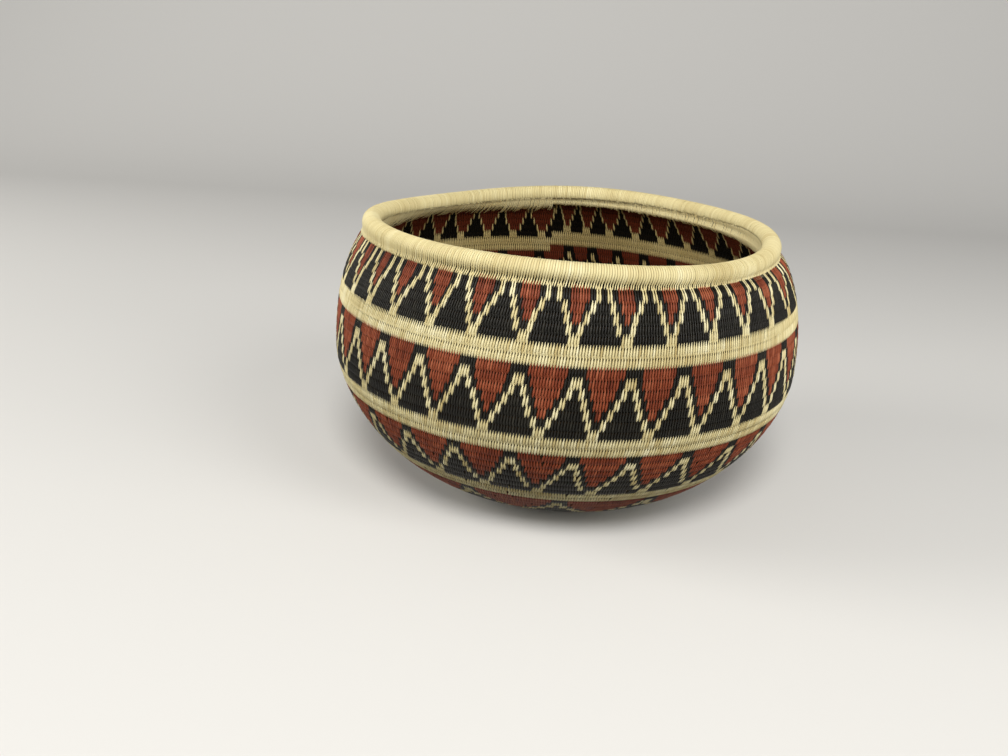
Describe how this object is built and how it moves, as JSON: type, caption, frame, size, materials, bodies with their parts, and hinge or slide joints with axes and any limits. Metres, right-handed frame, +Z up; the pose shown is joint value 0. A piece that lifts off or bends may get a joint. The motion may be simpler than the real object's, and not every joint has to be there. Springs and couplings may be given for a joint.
{
  "type": "coiled basket bowl",
  "caption": "Round coiled plant-fibre basket bowl with stepped triangle bands, a full belly, an in-drawn shoulder and a thick wrapped rim.",
  "frame": {"origin": "middle of the base, on the surface that the bowl rests on", "axes": "+Z up out of the mouth; the line where the bands begin and end climbs the wall 6 degrees past +Y"},
  "size_m": [0.1798, 0.1798, 0.1046],
  "materials": {
    "cream_strand": "peeled plant strand, natural pale straw colour, soft sheen",
    "brick_strand": "brick red plant strand, soft sheen",
    "charcoal_strand": "near black dyed plant strand, soft sheen",
    "foundation_straw": "bundle of dry stems, matt"
  },
  "bodies": {
    "root": {"start_knot": "cream_strand", "centre_coil": "cream_strand", "base_coil": "cream_strand", "heel_coil": "cream_strand", "foot_pattern_coil": "brick_strand", "lower_cream_coil": "cream_strand", "lower_pattern_coil": "brick_strand", "middle_cream_coil": "cream_strand", "middle_pattern_coil": "brick_strand", "upper_cream_coil": "cream_strand", "upper_pattern_coil": "charcoal_strand", "neck_coil": "cream_strand", "rim_core": "foundation_straw", "rim_wrap": "cream_strand"}
  },
  "joints": []
}
